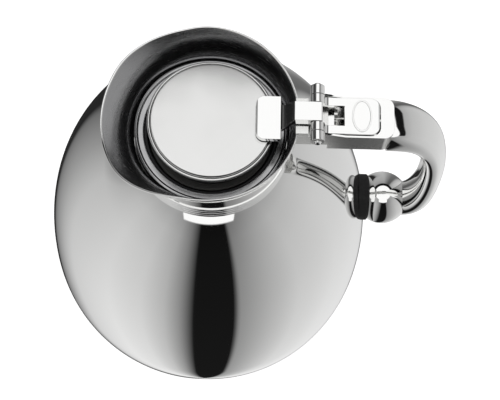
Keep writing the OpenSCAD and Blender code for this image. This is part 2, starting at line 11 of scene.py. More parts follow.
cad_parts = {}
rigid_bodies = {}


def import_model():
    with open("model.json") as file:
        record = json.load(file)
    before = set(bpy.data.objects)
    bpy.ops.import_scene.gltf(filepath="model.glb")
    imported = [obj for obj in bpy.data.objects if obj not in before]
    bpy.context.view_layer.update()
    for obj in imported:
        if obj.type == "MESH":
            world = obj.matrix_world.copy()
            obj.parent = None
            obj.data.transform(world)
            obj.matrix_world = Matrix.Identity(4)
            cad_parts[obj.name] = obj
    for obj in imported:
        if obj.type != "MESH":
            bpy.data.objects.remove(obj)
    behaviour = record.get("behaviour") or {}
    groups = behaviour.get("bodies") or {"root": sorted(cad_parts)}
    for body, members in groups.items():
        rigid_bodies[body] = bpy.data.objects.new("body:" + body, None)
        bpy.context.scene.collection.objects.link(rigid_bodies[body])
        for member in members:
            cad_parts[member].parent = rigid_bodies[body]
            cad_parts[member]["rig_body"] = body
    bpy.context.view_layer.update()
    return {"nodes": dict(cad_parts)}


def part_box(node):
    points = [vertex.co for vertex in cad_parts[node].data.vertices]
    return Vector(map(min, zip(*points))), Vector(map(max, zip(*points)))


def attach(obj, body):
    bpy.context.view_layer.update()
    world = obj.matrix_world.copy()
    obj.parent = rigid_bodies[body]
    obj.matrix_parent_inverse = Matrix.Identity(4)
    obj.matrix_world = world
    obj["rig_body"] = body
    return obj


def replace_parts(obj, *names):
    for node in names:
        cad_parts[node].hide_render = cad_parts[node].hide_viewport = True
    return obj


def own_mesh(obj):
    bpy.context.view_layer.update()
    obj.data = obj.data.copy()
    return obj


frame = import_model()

bl_info = {
    "name": "Insulated carafe",
    "version": (1, 0, 0),
    "blender": (4, 5, 0),
    "location": "View3D > Sidebar > Carafe",
    "description": "Finishes the pieces of a polished carafe with a lever lid",
    "category": "Object",
}

MM = 0.001
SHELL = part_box("outer_shell")
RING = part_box("neck_ring")
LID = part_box("lid_cap")
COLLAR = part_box("pouring_collar")
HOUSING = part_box("handle_housing")
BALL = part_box("handle_ball")
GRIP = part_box("handle_grip")

WELD = 0.002 * MM  # points closer than this are one point
SHARP = math.radians(35)  # edges above this angle stay sharp in a drawn piece
ROUNDED = math.radians(28)  # edges above this angle are rounded on a CAD piece


def linear(hex_colour):
    """An sRGB hex colour as linear red, green, blue and alpha."""
    parts = [int(hex_colour[i:i + 2], 16) / 255 for i in (1, 3, 5)]
    return [p / 12.92 if p <= 0.04045 else ((p + 0.055) / 1.055) ** 2.4 for p in parts] + [1.0]


def length(name, text, metres):
    """A length that a user can change."""
    return FloatProperty(name=name, description=text, default=metres, min=0, max=1, unit="LENGTH",
                         precision=4)


def colour(name, text, hex_colour):
    """A colour that a user can change."""
    return FloatVectorProperty(name=name, description=text, default=linear(hex_colour),
                               size=4, min=0, max=1, subtype="COLOR")


def angle(name, text, degrees):
    """An angle that a user can change."""
    return FloatProperty(name=name, description=text, default=math.radians(degrees), subtype="ANGLE")


def share(name, text, value):
    """A value from 0 to 1 that a user can change."""
    return FloatProperty(name=name, description=text, default=value, min=0, max=1, subtype="FACTOR")


# ---- sizes, finishes and studio -------------------------------------------------------


class CarafeBodySizes(bpy.types.PropertyGroup):
    """Outline of the shell and of the ring round its neck"""

    belly_radius: length("Belly radius", "Largest radius of the shell", SHELL[1].x)
    belly_height: length("Belly height", "Height of the widest point", 64 * MM)
    neck_radius: length("Neck radius", "Outer radius of the neck", 37.5 * MM)
    shoulder_height: length("Shoulder height", "Where the shell meets the neck ring",
                            RING[0].z - 0.1 * MM)
    neck_top: length("Neck top", "Upper end of the neck", SHELL[1].z)
    foot_radius: length("Foot radius", "Radius where the shell meets the base ring", 50 * MM)
    foot_height: length("Foot height", "Lower edge of the shell", SHELL[0].z)
    belly_rise: length("Belly rise", "Reach of the upper curve's tangent at the belly", 51.5 * MM)
    shoulder_run: length("Shoulder run", "Reach of the upper curve's tangent at the neck", 41 * MM)
    shoulder_slope: angle("Shoulder slope", "Slope of the shell at the neck", 27)
    belly_drop: length("Belly drop", "Reach of the lower curve's tangent at the belly", 30.5 * MM)
    foot_run: length("Foot run", "Reach of the lower curve's tangent at the foot", 27 * MM)
    wall: length("Wall", "Thickness of the steel", 1 * MM)
    relief: length("Relief", "How far the beads stand out of their band", 0.4 * MM)
    beads: IntProperty(name="Beads", description="Beads of the ring round the neck", default=4, min=1)


class CarafeCollarSizes(bpy.types.PropertyGroup):
    """Rim and wall of the pouring collar"""

    inside: length("Inside radius", "Inside of the collar where it stands on the neck", 37 * MM)
    rim_radius: length("Rim radius", "Radius of the rim at the handle", 41.6 * MM)
    rim_spread: length("Rim spread", "How much wider the rim is on the beak's side", 5.2 * MM)
    beak_reach: length("Beak reach", "How far the beak reaches beyond that", 6 * MM)
    beak_fall: length("Beak fall", "How far the rim falls towards the beak", 12 * MM)
    handle_fall: length("Handle fall", "How far the rim falls towards the handle", 3 * MM)
    height: length("Height", "Height of the rim above the collar's foot", 28.4 * MM)
    wall: length("Wall", "Thickness of the steel", 1 * MM)
    beak_start: angle("Beak's start", "Angle from the handle where the rim begins to widen", 104)
    beak_turn: angle("Beak's turn", "Angle over which it widens to the beak", 48)


class CarafeGripSizes(bpy.types.PropertyGroup):
    """Path and section of the handle"""

    root_x: length("Root", "Where the grip leaves the housing's end wall", HOUSING[1].x - 2.8 * MM)
    start_x: length("Path start, X", "Start of the path inside the housing", HOUSING[1].x - 6 * MM)
    start_z: length("Path start, Z", "Height of the path's start", HOUSING[0].z + 5.6 * MM)
    blend: length("Blend", "Length over which the squarish root turns rounder", 22 * MM)
    run: length("Run", "Reach of the path's first tangent", 19 * MM)
    bend_x: length("Bend, X", "Outermost point of the path", GRIP[1].x - 5.9 * MM)
    bend_z: length("Bend, Z", "Height of the outermost point", 154 * MM)
    bend_up: length("Tangent above", "Reach of the bend's tangent upwards", 49 * MM)
    bend_down: length("Tangent below", "Reach of the bend's tangent downwards", 27 * MM)
    ball_run: length("Run at the ball", "Reach of the path's last tangent", 5.5 * MM)
    half_width: FloatVectorProperty(name="Half width", description="At the root, the bend and the ball",
                                    default=(11.8 * MM, 8.9 * MM, 8.8 * MM), unit="LENGTH")
    half_depth: FloatVectorProperty(name="Half depth", description="At the root, the bend and the ball",
                                    default=(8.2 * MM, 5.9 * MM, 8.3 * MM), unit="LENGTH")
    drawn_in: share("Drawn in", "How much the root is narrower than the housing", 0.04)
    roundness: share("Roundness", "Power of the section's curve, 1 for an ellipse", 0.8)
    squareness: share("Squareness", "How much lower that power is at the root", 0.35)
    ball_radius: length("Ball radius", "Radius of the end ball", 13.8 * MM)
    ball_height: length("Ball height", "Height of the ball's centre", 115 * MM)
    ball_inset: length("Ball inset", "From the ball's flat face to its centre", 7.9 * MM)
    ring_radius: length("Ring radius", "Radius of the insulating ring", 12.2 * MM)
    ring_edge: length("Ring edge", "Rounding of the insulating ring's edges", 0.9 * MM)


class CarafeLidSizes(bpy.types.PropertyGroup):
    """Face and edge of the lid"""

    crown: length("Crown", "How far the face rises to its centre", 1.3 * MM)
    edge: length("Edge", "How far the face stays inside the lid's edge", 1.7 * MM)
    bead_drop: length("Bead's drop", "Height of the face's edge above the bead's centre", 2.9 * MM)
    bead: length("Bead", "Radius of the bead", 0.9 * MM)
    skirt: length("Skirt", "Depth of the lid's edge", 5 * MM)
    groove: length("Groove", "How far inside the edge the groove's wall stands", 1.9 * MM)
    groove_top: length("Groove's top", "How far below the face's edge it starts", 1.3 * MM)
    groove_floor: length("Groove's floor", "How far below the face's edge it ends", 2.3 * MM)
    rim_wall: length("Rim", "Thickness of the lid's rim", 2.6 * MM)
    face_wall: length("Face", "Thickness of the lid's face at its edge", 2.2 * MM)
    soft: length("Soft edge", "Rounding of the face's edge", 0.3 * MM)
    soft_edge: length("Softened edges", "Width of the rounding on the lever's pieces", 0.45 * MM)


class CarafeFinishes(bpy.types.PropertyGroup):
    """Colours and polish of the materials"""

    steel: colour("Polished steel", "Mirror-polished 18/8 stainless steel", "#f2f2f1")
    satin: colour("Satin steel", "Finely brushed stainless steel", "#e6e6e4")
    # painted shade: the collar's inside is coloured darker than the shell's steel, for the shade inside the
    # funnel
    inside: colour("Collar's inside", "Brushed stainless steel inside the collar", "#b4b4b5")
    lid: colour("Lid", "Satin-polished steel of the lid", "#dededd")
    wire: colour("Spring wire", "Drawn spring steel", "#8c8d90")
    plastic: colour("Black polypropylene", "Moulded insulating plastic", "#1b1b1d")
    rubber: colour("Black rubber", "Moulded EPDM rubber", "#151515")
    # painted shade: the seals are coloured dark grey for the shade they sit in under the lid
    silicone: colour("Silicone with painted shade", "Food-grade silicone of the seals", "#4c4c4a")
    glass: colour("Silvered glass", "Borosilicate glass, silvered between its walls", "#d5dade")
    polish: share("Polish", "Roughness of the polished steel", 0.035)
    brushing: share("Brushing", "Roughness of the satin steel", 0.24)


class CarafeStudio(bpy.types.PropertyGroup):
    """Camera and the white tent round the object"""

    elevation: angle("Elevation", "Camera above the horizon", 70.24)
    yaw: angle("Yaw", "Camera turned to the right", 1.39)
    roll: angle("Roll", "Camera turned about its own view", 1.53)
    distance: length("Distance", "From the camera to the point it circles", 0.9)
    aim_height: length("Aim height", "Height of that point on the body's axis", 105.3 * MM)
    lens: FloatProperty(name="Lens", description="Focal length in mm", default=121.0, min=10, max=400)
    tent: share("Tent", "Brightness of the tent's panels", 1.0)


GROUPS = {
    "carafe_body": CarafeBodySizes,
    "carafe_collar": CarafeCollarSizes,
    "carafe_grip": CarafeGripSizes,
    "carafe_lid": CarafeLidSizes,
    "carafe_finish": CarafeFinishes,
    "carafe_studio": CarafeStudio,
}


# ---- nodes and materials --------------------------------------------------------------


def add(tree, kind, inputs=None, **settings):
    """Adds a node with its settings; each input is a value or the socket that feeds it."""
    node = tree.nodes.new(kind)
    for key, value in settings.items():
        setattr(node, key, value)
    for socket, value in (inputs or {}).items():
        if isinstance(value, bpy.types.NodeSocket):
            tree.links.new(value, node.inputs[socket])
        else:
            node.inputs[socket].default_value = value
    return node


def material(name, build):
    """The material of that name, made once; build(tree, finish) gives its shader's inputs."""
    made = bpy.data.materials.get(name)
    if made:
        return made
    made = bpy.data.materials.new(name)
    made.use_nodes = True
    tree = made.node_tree
    tree.nodes.clear()
    shader = add(tree, "ShaderNodeBsdfPrincipled", build(tree, bpy.context.scene.carafe_finish))
    add(tree, "ShaderNodeOutputMaterial", {"Surface": shader.outputs["BSDF"]})
    return made


def grain(tree, size_mm, detail=3.0, stretch=(1, 1, 1)):
    """Noise whose grains are size_mm across, on the piece's own coordinates."""
    place = add(tree, "ShaderNodeTexCoord")
    turn = add(tree, "ShaderNodeMapping", {"Vector": place.outputs["Object"], "Scale": stretch})
    return add(tree, "ShaderNodeTexNoise", {"Vector": turn.outputs["Vector"], "Detail": detail,
                                            "Scale": 1 / (size_mm * MM)}).outputs["Fac"]


def mapped(tree, value, low, high, to_low=0.0, to_high=1.0):
    """A value stretched from one range to another, which it doesn't leave."""
    return add(tree, "ShaderNodeMapRange", {"Value": value, "From Min": low, "From Max": high,
                                            "To Min": to_low, "To Max": to_high}).outputs["Result"]


def between(tree, noise, low, high):
    """A noise's middle range stretched from low to high."""
    return mapped(tree, noise, 0.3, 0.7, low, high)


def relief(tree, pattern, height_mm, strength=1.0):
    """A bump of that height made from a pattern."""
    return add(tree, "ShaderNodeBump", {"Height": pattern, "Strength": strength,
                                        "Distance": height_mm * MM}).outputs["Normal"]


def polished_steel():
    """18/8 stainless steel, ground and mirror-polished: a clean reflection, dulled a little in patches
    where it was wiped, over a very slight waviness left by the buffing wheel."""

    def build(tree, finish):
        wiped = between(tree, grain(tree, 35, 2.0), finish.polish * 0.7, finish.polish * 1.5)
        buffed = grain(tree, 14, 1.0)
        return {"Base Color": finish.steel, "Metallic": 1.0, "Roughness": wiped,
                "Normal": relief(tree, buffed, 0.004)}

    return material("polished_stainless_steel", build)


def satin_steel():
    """Stainless steel brushed in one direction: a soft sheen with fine lines, about 0.4 mm apart,
    which is coarser than the real grit so that they show."""

    def build(tree, finish):
        lines = grain(tree, 0.4, 2.0, (1, 0.04, 1))
        sheen = between(tree, lines, finish.brushing * 0.8, finish.brushing * 1.2)
        return {"Base Color": finish.satin, "Metallic": 1.0, "Roughness": sheen,
                "Normal": relief(tree, lines, 0.006)}

    return material("satin_stainless_steel", build)


def brushed_inside_painted_shade():
    """The collar's inside: stainless steel brushed round and round, coloured darker than the shell as
    painted shade for the shade inside the funnel, and soft; the lines are about 0.6 mm apart."""

    def build(tree, finish):
        lines = grain(tree, 0.6, 2.0, (0.08, 0.08, 1))
        sheen = between(tree, lines, 0.2, 0.28)
        return {"Base Color": finish.inside, "Metallic": 1.0, "Roughness": sheen,
                "Normal": relief(tree, lines, 0.001)}

    return material("collar_inside_painted_shade", build)


def lid_steel():
    """The lid's pressed steel, polished and then handled: nearly as bright as the shell, but softer,
    with faint rings from spinning it over its die."""
    # the rings are 5 mm apart, since their wave turns by one radian over this radius
    wave = 0.8 * MM

    def build(tree, finish):
        place = add(tree, "ShaderNodeTexCoord")
        # 20 is the texture's own number of radians to one unit
        rings = add(tree, "ShaderNodeTexWave", {"Vector": place.outputs["Object"], "Distortion": 0.4,
                                                "Scale": 1 / (20 * wave), "Detail": 1.0},
                    wave_type="RINGS", rings_direction="Z")
        soft = between(tree, grain(tree, 18, 2.0), 0.16, 0.22)
        return {"Base Color": finish.lid, "Metallic": 1.0, "Roughness": soft,
                "Normal": relief(tree, rings.outputs["Fac"], 0.002, 0.15)}

    return material("turned_lid_steel", build)


def spring_wire():
    """Cold-drawn spring steel, oiled: dark grey with lengthwise drawing marks."""

    def build(tree, finish):
        marks = grain(tree, 0.3, 3.0, (1, 1, 0.3))
        dull = between(tree, marks, 0.25, 0.4)
        return {"Base Color": finish.wire, "Metallic": 1.0, "Roughness": dull,
                "Normal": relief(tree, marks, 0.004)}

    return material("drawn_spring_steel", build)


def black_plastic():
    """Injection-moulded polypropylene: near black, with the fine spark-eroded texture of its mould."""

    def build(tree, finish):
        texture = grain(tree, 0.5, 4.0)
        dull = between(tree, texture, 0.42, 0.55)
        return {"Base Color": finish.plastic, "IOR": 1.49, "Roughness": dull,
                "Normal": relief(tree, texture, 0.02)}

    return material("moulded_black_polypropylene", build)


def black_rubber():
    """Moulded EPDM rubber: matt black, with a soft bloom in patches."""

    def build(tree, finish):
        skin = grain(tree, 0.7, 4.0)
        bloom = between(tree, grain(tree, 6, 2.0), 0.62, 0.8)
        return {"Base Color": finish.rubber, "IOR": 1.5, "Roughness": bloom,
                "Normal": relief(tree, skin, 0.03)}

    return material("moulded_epdm_rubber", build)


def silicone_painted_shade():
    """Food-grade silicone rubber, coloured dark grey as painted shade for the shade under the lid's edge,
    with a little light carried inside it.
    """

    def build(tree, finish):
        skin = grain(tree, 1.0, 2.0)
        dull = between(tree, skin, 0.4, 0.5)
        return {"Base Color": finish.silicone, "IOR": 1.41, "Roughness": dull,
                "Subsurface Weight": 0.3, "Subsurface Radius": (2 * MM, 2 * MM, 2 * MM),
                "Normal": relief(tree, skin, 0.01)}

    return material("silicone_rubber_painted_shade", build)


def silvered_glass():
    """Borosilicate glass with the silver layer of a vacuum flask: it looks like a slightly wavy mirror."""

    def build(tree, finish):
        blown = grain(tree, 22, 2.0)
        wavy = between(tree, blown, 0.03, 0.08)
        return {"Base Color": finish.glass, "Metallic": 1.0, "Roughness": wavy,
                "Normal": relief(tree, blown, 0.15)}

    return material("silvered_borosilicate_glass", build)


# ---- mesh helpers ---------------------------------------------------------------------


def bezier(points, t):
    """A point on a cubic curve."""
    a, b, c, d = (Vector(p) for p in points)
    u = 1 - t
    return a * u ** 3 + b * 3 * u * u * t + c * 3 * u * t * t + d * t ** 3


def bezier_slope(points, t):
    """The unit direction of a cubic curve."""
    a, b, c, d = (Vector(p) for p in points)
    u = 1 - t
    return ((b - a) * u * u + (c - b) * 2 * u * t + (d - c) * t * t).normalized()


def arc(centre, radius, start, stop, steps):
    """Points on an arc in an outline's (radius, height) plane, angles in degrees."""
    angles = [math.radians(start + (stop - start) * i / steps) for i in range(steps + 1)]
    return [(centre[0] + radius * math.cos(a), centre[1] + radius * math.sin(a)) for a in angles]


def smooth_step(t):
    """0 to 1 with level ends."""
    t = min(1.0, max(0.0, t))
    return t * t * (3 - 2 * t)


def tidy(mesh, finish):
    """Merges doubles, turns faces outwards and smooths all but sharp edges."""
    bm = bmesh.new()
    bm.from_mesh(mesh)
    bmesh.ops.remove_doubles(bm, verts=bm.verts, dist=WELD)
    bmesh.ops.recalc_face_normals(bm, faces=bm.faces)
    for face in bm.faces:
        face.smooth = True
    for edge in bm.edges:
        edge.smooth = len(edge.link_faces) == 2 and edge.calc_face_angle() < SHARP
    bm.to_mesh(mesh)
    bm.free()
    mesh.materials.clear()
    mesh.materials.append(finish)


def lofted(rows, capped=False):
    """Points and faces of closed rings joined in order; the ends are capped or joined to each other."""
    n, m = len(rows), len(rows[0])
    verts = [p for row in rows for p in row]
    faces = [(i * m + j, i * m + (j + 1) % m, (i + 1) % n * m + (j + 1) % m, (i + 1) % n * m + j)
             for i in range(n - capped) for j in range(m)]
    if capped:
        faces += [tuple(range(m - 1, -1, -1)), tuple((n - 1) * m + j for j in range(m))]
    return verts, faces


def turned(outline, sides, along_x=None):
    """Points and faces of a closed (radius, height) outline turned about Z, or about X at a height."""
    rows = []
    for i in range(sides):
        c, s = math.cos(math.tau * i / sides), math.sin(math.tau * i / sides)
        if along_x is None:
            rows.append([(r * c, r * s, z) for r, z in outline])
        else:
            rows.append([(x, r * c, along_x + r * s) for r, x in outline])
    return lofted(rows)


def piece(name, mesh_data, finish, slot, *nodes):
    """A new piece that stands for CAD nodes and rides on their body."""
    mesh = bpy.data.meshes.new(name)
    mesh.from_pydata(mesh_data[0], [], mesh_data[1])
    tidy(mesh, finish)
    return stand_in(bpy.data.objects.new(name, mesh), slot, *nodes)


def stand_in(obj, slot, *nodes):
    """Links a finished object, which then stands for CAD nodes and rides on their body."""
    if obj.name not in bpy.context.scene.collection.objects:
        bpy.context.scene.collection.objects.link(obj)
    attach(obj, frame["nodes"][nodes[0]]["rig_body"])
    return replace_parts(obj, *nodes)


def softened(node, name, finish, width):
    """A copy of a CAD node's mesh with its sharp edges rounded, which stands for the node."""
    flat_deg = 0.6  # facets of a flat face differ by less
    mesh = frame["nodes"][node].data.copy()
    mesh.name = name
    bm = bmesh.new()
    bm.from_mesh(mesh)
    bmesh.ops.remove_doubles(bm, verts=bm.verts, dist=WELD)
    bmesh.ops.dissolve_limit(bm, angle_limit=math.radians(flat_deg), verts=bm.verts, edges=bm.edges)
    bmesh.ops.recalc_face_normals(bm, faces=bm.faces)
    for face in bm.faces:
        face.smooth = True
    bm.to_mesh(mesh)
    bm.free()
    mesh.materials.clear()
    mesh.materials.append(finish)
    obj = bpy.data.objects.new(name, mesh)
    bpy.context.scene.collection.objects.link(obj)
    bevel = obj.modifiers.new("rounding", "BEVEL")
    bevel.width = width
    bevel.segments = 3
    bevel.limit_method = "ANGLE"
    bevel.angle_limit = ROUNDED
    bevel.use_clamp_overlap = True
    flat = obj.modifiers.new("flat_faces", "WEIGHTED_NORMAL")
    flat.weight = 100
    bake(obj)
    return stand_in(obj, "polished_steel", node)


def bake(obj):
    """Replaces an object's mesh by what its modifiers make of it, and removes them."""
    graph = bpy.context.evaluated_depsgraph_get()
    made = bpy.data.meshes.new_from_object(obj.evaluated_get(graph))
    obj.modifiers.clear()
    obj.data = made


# ---- geometry nodes -------------------------------------------------------------------


def new_tree(name, inputs):
    """A geometry tree with named inputs, given as {name: (socket type, value)}."""
    tree = bpy.data.node_groups.new(name, "GeometryNodeTree")
    for key, (kind, value) in inputs.items():
        socket = tree.interface.new_socket(key, in_out="INPUT", socket_type="NodeSocket" + kind)
        if value is not None:
            socket.default_value = value
    tree.interface.new_socket("Mesh", in_out="OUTPUT", socket_type="NodeSocketGeometry")
    return tree, add(tree, "NodeGroupInput").outputs


def close_tree(tree, geometry, finish):
    """Ends a tree with smooth faces, real instances and the material."""
    real = add(tree, "GeometryNodeRealizeInstances", {0: geometry})
    welded = add(tree, "GeometryNodeMergeByDistance", {0: real.outputs[0], "Distance": WELD})
    even = add(tree, "GeometryNodeSetShadeSmooth", {0: welded.outputs[0]})
    painted = add(tree, "GeometryNodeSetMaterial", {0: even.outputs[0], "Material": finish})
    add(tree, "NodeGroupOutput", {0: painted.outputs[0]})


def grown(name, tree, values, wall=0.0):
    """An object whose mesh a geometry tree makes from these values, with a wall inwards if asked."""
    obj = bpy.data.objects.new(name, bpy.data.meshes.new(name))
    bpy.context.scene.collection.objects.link(obj)
    maker = obj.modifiers.new("maker", "NODES")
    maker.node_group = tree
    for item in tree.interface.items_tree:
        if item.in_out == "INPUT" and item.name in values:
            maker[item.identifier] = values[item.name]
    if wall:
        skin = obj.modifiers.new("wall", "SOLIDIFY")
        skin.thickness = wall
        skin.offset = 1
    bake(obj)
    return obj


def calculate(tree, operation, *values):
    """The result of a math node."""
    return add(tree, "ShaderNodeMath", dict(enumerate(values)), operation=operation).outputs[0]


def point(tree, x, z):
    """A point of an outline in the XZ plane."""
    return add(tree, "ShaderNodeCombineXYZ", {"X": x, "Z": z}).outputs[0]


def turned_curve(tree, curve, rings, sides):
    """Turns an outline curve in the XZ plane about Z: a grid whose rows run along the curve."""
    grid = add(tree, "GeometryNodeMeshGrid", {"Size X": 1.0, "Size Y": 1.0, "Vertices X": rings,
                                              "Vertices Y": sides})
    where = add(tree, "ShaderNodeSeparateXYZ", {0: add(tree, "GeometryNodeInputPosition").outputs[0]})
    along = calculate(tree, "ADD", where.outputs["X"], 0.5)
    angle = calculate(tree, "MULTIPLY", where.outputs["Y"], math.tau)
    sample = add(tree, "GeometryNodeSampleCurve", {"Curves": curve, "Factor": along}, mode="FACTOR")
    spot = add(tree, "ShaderNodeSeparateXYZ", {0: sample.outputs["Position"]})
    radius = spot.outputs["X"]
    place = add(tree, "ShaderNodeCombineXYZ", {
        "X": calculate(tree, "MULTIPLY", radius, calculate(tree, "COSINE", angle)),
        "Y": calculate(tree, "MULTIPLY", radius, calculate(tree, "SINE", angle)),
        "Z": spot.outputs["Z"],
    })
    moved = add(tree, "GeometryNodeSetPosition", {"Geometry": grid.outputs["Mesh"],
                                                  "Position": place.outputs[0]})
    return moved.outputs[0]


def shell_tree():
    """The shell's outside: two cubic curves that meet upright at the belly, and the neck, turned
    about the axis."""
    tree, given = new_tree("carafe_shell", {
        "Belly Radius": ("Float", 0.085), "Belly Height": ("Float", 0.064),
        "Neck Radius": ("Float", 0.0375), "Shoulder Height": ("Float", 0.187),
        "Neck Top": ("Float", 0.197), "Foot Radius": ("Float", 0.05),
        "Foot Height": ("Float", 0.006), "Belly Rise": ("Float", 0.05),
        "Shoulder Run": ("Float", 0.04), "Shoulder Slope": ("Float", 0.47),
        "Belly Drop": ("Float", 0.03), "Foot Run": ("Float", 0.027),
        "Sides": ("Int", 241), "Finish": ("Material", None),
    })
    points = 400  # on each curve
    run_x, run_z = (calculate(tree, "MULTIPLY", given["Shoulder Run"],
                              calculate(tree, side, given["Shoulder Slope"])) for side in ("COSINE", "SINE"))
    belly = point(tree, given["Belly Radius"], given["Belly Height"])
    neck = point(tree, given["Neck Radius"], given["Shoulder Height"])
    upper = add(tree, "GeometryNodeCurvePrimitiveBezierSegment", {
        "Resolution": points, "Start": belly,
        "Start Handle": point(tree, given["Belly Radius"],
                              calculate(tree, "ADD", given["Belly Height"], given["Belly Rise"])),
        "End Handle": point(tree, calculate(tree, "ADD", given["Neck Radius"], run_x),
                            calculate(tree, "SUBTRACT", given["Shoulder Height"], run_z)),
        "End": neck})
    lower = add(tree, "GeometryNodeCurvePrimitiveBezierSegment", {
        "Resolution": points, "Start": point(tree, given["Foot Radius"], given["Foot Height"]),
        "Start Handle": point(tree, calculate(tree, "ADD", given["Foot Radius"], given["Foot Run"]),
                              given["Foot Height"]),
        "End Handle": point(tree, given["Belly Radius"],
                            calculate(tree, "SUBTRACT", given["Belly Height"], given["Belly Drop"])),
        "End": belly})
    collar = add(tree, "GeometryNodeCurvePrimitiveLine",
                 {"Start": neck, "End": point(tree, given["Neck Radius"], given["Neck Top"])})
    whole = add(tree, "GeometryNodeJoinGeometry")
    for curve, rings in ((lower, 70), (upper, 100), (collar, 3)):
        tree.links.new(turned_curve(tree, curve.outputs[0], rings, given["Sides"]), whole.inputs[0])
    close_tree(tree, whole.outputs[0], given["Finish"])
    return tree


def neck_ring_tree():
    """The ribbed band: a plain ring with round beads stacked on it."""
    tree, given = new_tree("carafe_neck_ring", {
        "Radius": ("Float", 0.0375), "Bottom": ("Float", 0.187), "Height": ("Float", 0.0099),
        "Band": ("Float", 0.0009), "Relief": ("Float", 0.0004), "Beads": ("Int", 4),
        "Finish": ("Material", None),
    })
    pitch = calculate(tree, "DIVIDE", given["Height"], given["Beads"])
    bead_radius = calculate(tree, "MULTIPLY", pitch, 0.36)
    bead_line = add(tree, "GeometryNodeCurvePrimitiveCircle", {
        "Resolution": 240, "Radius": calculate(tree, "ADD", given["Radius"], given["Band"])})
    bead_circle = add(tree, "GeometryNodeCurvePrimitiveCircle", {"Resolution": 20, "Radius": 1.0})
    bead_scale = add(tree, "ShaderNodeCombineXYZ", {"X": given["Relief"], "Y": bead_radius})
    bead_section = add(tree, "GeometryNodeTransform", {"Geometry": bead_circle.outputs[0],
                                                       "Scale": bead_scale.outputs[0]})
    bead = add(tree, "GeometryNodeCurveToMesh", {"Curve": bead_line.outputs[0],
                                                 "Profile Curve": bead_section.outputs[0]})
    first = calculate(tree, "ADD", given["Bottom"], calculate(tree, "MULTIPLY", pitch, 0.5))
    stack = add(tree, "GeometryNodeMeshLine", {"Count": given["Beads"],
                                               "Start Location": point(tree, 0.0, first),
                                               "Offset": point(tree, 0.0, pitch)})
    beads = add(tree, "GeometryNodeInstanceOnPoints", {"Points": stack.outputs[0],
                                                       "Instance": bead.outputs[0]})
    half = calculate(tree, "MULTIPLY", given["Band"], 0.5)
    band_line = add(tree, "GeometryNodeCurvePrimitiveCircle",
                    {"Resolution": 240, "Radius": calculate(tree, "ADD", given["Radius"], half)})
    band_section = add(tree, "GeometryNodeCurvePrimitiveQuadrilateral",
                       {"Width": given["Band"], "Height": given["Height"]})
    band = add(tree, "GeometryNodeCurveToMesh", {"Curve": band_line.outputs[0],
                                                 "Profile Curve": band_section.outputs[0]})
    middle = calculate(tree, "ADD", given["Bottom"], calculate(tree, "MULTIPLY", given["Height"], 0.5))
    raised = add(tree, "GeometryNodeTransform", {"Geometry": band.outputs[0],
                                                 "Translation": point(tree, 0.0, middle)})
    whole = add(tree, "GeometryNodeJoinGeometry")
    tree.links.new(beads.outputs[0], whole.inputs[0])
    tree.links.new(raised.outputs[0], whole.inputs[0])
    close_tree(tree, whole.outputs[0], given["Finish"])
    return tree


def spring_tree():
    """A coil spring: round wire along a helix, with closed ends."""
    tree, given = new_tree("carafe_spring", {
        "Radius": ("Float", 0.0036), "Wire": ("Float", 0.0008), "Height": ("Float", 0.011),
        "Turns": ("Float", 5.0), "Place": ("Vector", None), "Finish": ("Material", None),
    })
    helix = add(tree, "GeometryNodeCurveSpiral", {
        "Resolution": 32, "Rotations": given["Turns"], "Start Radius": given["Radius"],
        "End Radius": given["Radius"], "Height": given["Height"]})
    wire = add(tree, "GeometryNodeCurvePrimitiveCircle", {
        "Resolution": 12, "Radius": calculate(tree, "MULTIPLY", given["Wire"], 0.5)})
    coil = add(tree, "GeometryNodeCurveToMesh", {"Curve": helix.outputs[0],
                                                 "Profile Curve": wire.outputs[0], "Fill Caps": True})
    placed = add(tree, "GeometryNodeTransform", {"Geometry": coil.outputs[0],
                                                 "Translation": given["Place"]})
    close_tree(tree, placed.outputs[0], given["Finish"])
    return tree


# ---- operators ------------------------------------------------------------------------


class CARAFE_OT_shell(bpy.types.Operator):
    """Makes the mirror-polished shell from its outline"""

    bl_idname = "carafe.shell"
    bl_label = "Shell"

    def execute(self, context):
        size = context.scene.carafe_body
        obj = grown("shell", shell_tree(), {
            "Belly Radius": size.belly_radius, "Belly Height": size.belly_height,
            "Neck Radius": size.neck_radius, "Shoulder Height": size.shoulder_height,
            "Neck Top": size.neck_top, "Foot Radius": size.foot_radius,
            "Foot Height": size.foot_height, "Belly Rise": size.belly_rise,
            "Shoulder Run": size.shoulder_run, "Shoulder Slope": size.shoulder_slope,
            "Belly Drop": size.belly_drop, "Foot Run": size.foot_run,
            "Finish": polished_steel()}, wall=size.wall)
        tidy(obj.data, polished_steel())
        stand_in(obj, "polished_steel", "outer_shell")
        return {"FINISHED"}


class CARAFE_OT_neck_ring(bpy.types.Operator):
    """Makes the ribbed band round the neck"""

    bl_idname = "carafe.neck_ring"
    bl_label = "Neck ring"

    def execute(self, context):
        size = context.scene.carafe_body
        obj = grown("neck_band", neck_ring_tree(), {
            "Radius": size.neck_radius, "Bottom": RING[0].z, "Height": RING[1].z - RING[0].z,
            "Relief": size.relief, "Beads": size.beads, "Finish": polished_steel()})
        tidy(obj.data, polished_steel())
        stand_in(obj, "polished_steel", "neck_ring")
        return {"FINISHED"}


